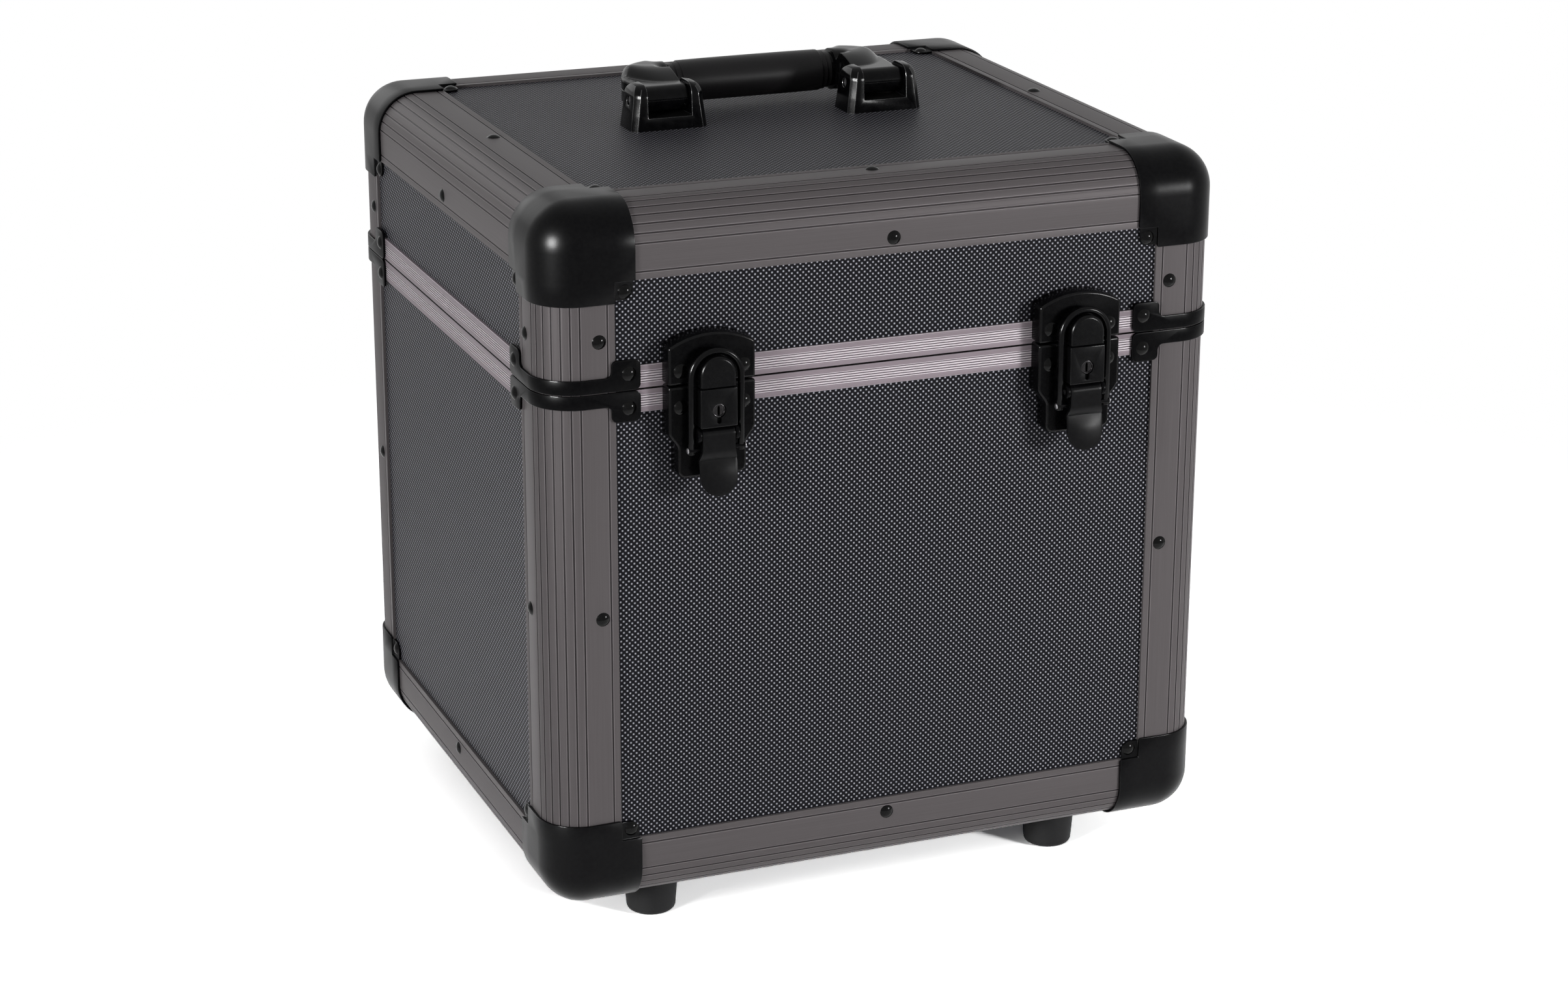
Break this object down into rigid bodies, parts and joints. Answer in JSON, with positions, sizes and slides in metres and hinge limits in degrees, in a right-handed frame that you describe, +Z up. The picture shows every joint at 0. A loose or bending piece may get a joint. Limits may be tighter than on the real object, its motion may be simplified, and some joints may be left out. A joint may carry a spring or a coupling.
{
  "type": "record carrying case",
  "caption": "Cubic carrying case for records with a hinged lid, key-locking drawbolt latches, a folding top handle, metal edge profiles, ball corners and rubber feet.",
  "frame": {"origin": "on the floor under the middle of the overall bounding box", "axes": "+X to the viewer's right along the front, front faces -Y, +Z up"},
  "size_m": [0.3874, 0.3704, 0.4314],
  "materials": {
    "laminated_board": "black laminate with raised dots on plywood",
    "profile_aluminium": "dark grey anodised extrusion with fine grooves",
    "rim_aluminium": "grey anodised extrusion with fine lines",
    "black_steel": "satin gloss black",
    "gloss_handle": "gloss black",
    "grip_plastic": "satin black",
    "foot_rubber": "matt black",
    "foam_lining": "dark foam sheet",
    "plain_steel": "zinc plated",
    "lock_steel": "dark plated"
  },
  "bodies": {
    "body": {"front_panel": "laminated_board", "back_panel": "laminated_board", "left_panel": "laminated_board", "right_panel": "laminated_board", "bottom_panel": "laminated_board", "post_front_left": "profile_aluminium", "post_front_right": "profile_aluminium", "post_back_left": "profile_aluminium", "post_back_right": "profile_aluminium", "bottom_edge_front": "profile_aluminium", "bottom_edge_back": "profile_aluminium", "bottom_edge_left": "profile_aluminium", "bottom_edge_right": "profile_aluminium", "body_rims": "rim_aluminium", "bottom_corner_caps": "black_steel", "body_corner_braces": "black_steel", "body_rivets": "black_steel", "body_lining": "foam_lining", "feet": "foot_rubber", "foot_screws": "plain_steel", "latch_base_left": "black_steel", "latch_base_right": "black_steel", "key_housing_left": "black_steel", "key_housing_right": "black_steel", "lever_pins": "plain_steel", "hinge_body_leaves": "black_steel", "hinge_pins": "plain_steel"},
    "lid": {"top_panel": "laminated_board", "lid_front_panel": "laminated_board", "lid_back_panel": "laminated_board", "lid_left_panel": "laminated_board", "lid_right_panel": "laminated_board", "lid_posts": "profile_aluminium", "top_edge_front": "profile_aluminium", "top_edge_back": "profile_aluminium", "top_edge_left": "profile_aluminium", "top_edge_right": "profile_aluminium", "lid_rims": "rim_aluminium", "top_corner_caps": "black_steel", "lid_corner_braces": "black_steel", "lid_rivets": "black_steel", "lid_lining": "foam_lining", "keeper_left": "black_steel", "keeper_right": "black_steel", "hinge_lid_leaves": "black_steel", "handle_bracket_left": "gloss_handle", "handle_bracket_right": "gloss_handle", "handle_pins": "plain_steel", "handle_screws": "plain_steel"},
    "handle": {"handle_arm_left": "gloss_handle", "handle_arm_right": "gloss_handle", "handle_grip": "grip_plastic"},
    "lever_left": {"lever_left": "black_steel"},
    "bail_left": {"bail_left": "black_steel"},
    "lock_left": {"lock_cylinder_left": "lock_steel"},
    "lever_right": {"lever_right": "black_steel"},
    "bail_right": {"bail_right": "black_steel"},
    "lock_right": {"lock_cylinder_right": "lock_steel"}
  },
  "joints": [
    {"name": "lid_hinge", "type": "hinge", "parent": "body", "child": "lid", "pos_m": [0, 0.17855, 0.311], "axis": [-1, 0, 0], "range_deg": [0, 95]},
    {"name": "handle_fold", "type": "hinge", "parent": "lid", "child": "handle", "pos_m": [0, 0.00425, 0.4199], "axis": [1, 0, 0], "range_deg": [0, 180]},
    {"name": "lever_left_swing", "type": "hinge", "parent": "body", "child": "lever_left", "pos_m": [-0.1035, -0.18125, 0.2877], "axis": [-1, 0, 0], "range_deg": [0, 90]},
    {"name": "bail_left_swing", "type": "hinge", "parent": "lever_left", "child": "bail_left", "pos_m": [-0.1035, -0.18075, 0.28], "axis": [-1, 0, 0], "range_deg": [-100, 0]},
    {"name": "lock_left_turn", "type": "hinge", "parent": "body", "child": "lock_left", "pos_m": [-0.1035, -0.18075, 0.301], "axis": [0, -1, 0], "range_deg": [0, 90]},
    {"name": "lever_right_swing", "type": "hinge", "parent": "body", "child": "lever_right", "pos_m": [0.1035, -0.18125, 0.2877], "axis": [-1, 0, 0], "range_deg": [0, 90]},
    {"name": "bail_right_swing", "type": "hinge", "parent": "lever_right", "child": "bail_right", "pos_m": [0.1035, -0.18075, 0.28], "axis": [-1, 0, 0], "range_deg": [-100, 0]},
    {"name": "lock_right_turn", "type": "hinge", "parent": "body", "child": "lock_right", "pos_m": [0.1035, -0.18075, 0.301], "axis": [0, -1, 0], "range_deg": [0, 90]}
  ],
  "couplings": [
    {"joint": "bail_left_swing", "follows": "lever_left_swing", "ratio": -1.1},
    {"joint": "bail_right_swing", "follows": "lever_right_swing", "ratio": -1.1}
  ]
}
